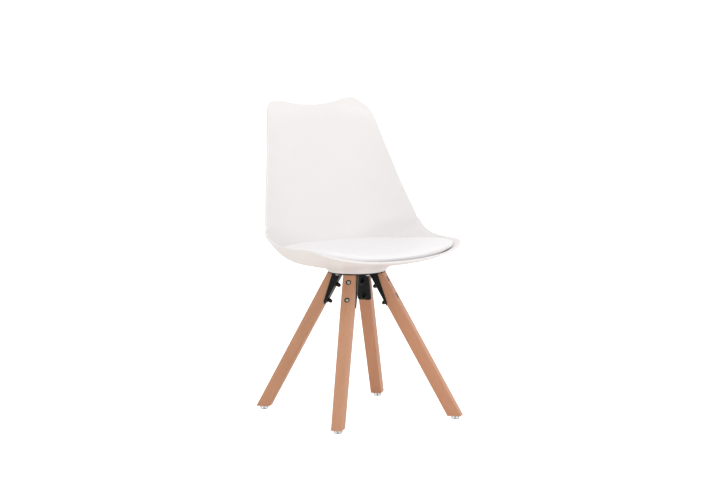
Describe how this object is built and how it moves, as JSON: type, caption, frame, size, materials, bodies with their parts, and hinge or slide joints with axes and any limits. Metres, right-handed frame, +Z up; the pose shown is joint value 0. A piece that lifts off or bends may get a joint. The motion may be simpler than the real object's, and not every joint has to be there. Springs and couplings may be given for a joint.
{
  "type": "dining chair",
  "caption": "Rigid dining chair: white moulded bucket shell with a recessed padded seat, on a steel disc base with folded brackets and splayed square beech legs.",
  "frame": {"origin": "on the floor, on the vertical axis of the base disc, midway between the four glides", "axes": "+Z up, the chair faces -Y, +X is the sitter's left"},
  "size_m": [0.4748, 0.4523, 0.8171],
  "materials": {
    "white_shell": "satin moulded polypropylene, white",
    "white_leather": "white coated fabric with a fine leather grain over foam",
    "board": "raw plywood",
    "nylon_clip": "black nylon",
    "brass_insert": "plain",
    "black_steel": "black powder coat",
    "black_nut": "black oxide",
    "zinc_steel": "zinc plated",
    "beech": "natural beech, matt lacquer",
    "clear_plastic": "clear polycarbonate"
  },
  "bodies": {
    "root": {"seat_shell": "white_shell", "shell_inserts": "brass_insert", "seat_cushion": "white_leather", "cushion_board": "board", "cushion_clips": "nylon_clip", "base_plate": "black_steel", "plate_screws": "zinc_steel", "plate_washers": "zinc_steel", "bracket_front_left": "black_steel", "bracket_front_right": "black_steel", "bracket_rear_left": "black_steel", "bracket_rear_right": "black_steel", "leg_front_left": "beech", "leg_front_right": "beech", "leg_rear_left": "beech", "leg_rear_right": "beech", "leg_bolts": "zinc_steel", "leg_bolt_washers": "black_steel", "leg_cap_nuts": "black_nut", "glide_front_left": "clear_plastic", "glide_front_right": "clear_plastic", "glide_rear_left": "clear_plastic", "glide_rear_right": "clear_plastic", "glide_nails": "zinc_steel"}
  },
  "joints": []
}
